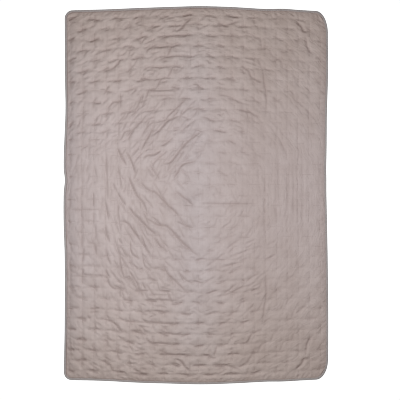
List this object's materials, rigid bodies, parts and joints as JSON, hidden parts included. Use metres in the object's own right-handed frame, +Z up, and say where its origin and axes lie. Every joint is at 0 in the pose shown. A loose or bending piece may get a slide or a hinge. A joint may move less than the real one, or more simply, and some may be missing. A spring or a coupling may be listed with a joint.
{
  "type": "quilt",
  "caption": "Flat rectangular bed quilt, softly filled and sewn through with offset rows of small crosses, its edge bound with a narrow folded strip.",
  "frame": {"origin": "on the surface that the quilt lies on, under the middle of its outline", "axes": "+X across the face to the right, +Y along the length to the head end, +Z up out of the face"},
  "size_m": [1.4104, 2.015, 0.0144],
  "materials": {
    "cover_cloth": "soft matt plain-weave cotton, warm grey",
    "binding_cloth": "matt cotton strip, a shade darker and greyer"
  },
  "bodies": {
    "root": {"quilt_body": "cover_cloth", "edge_binding": "binding_cloth"}
  },
  "joints": []
}
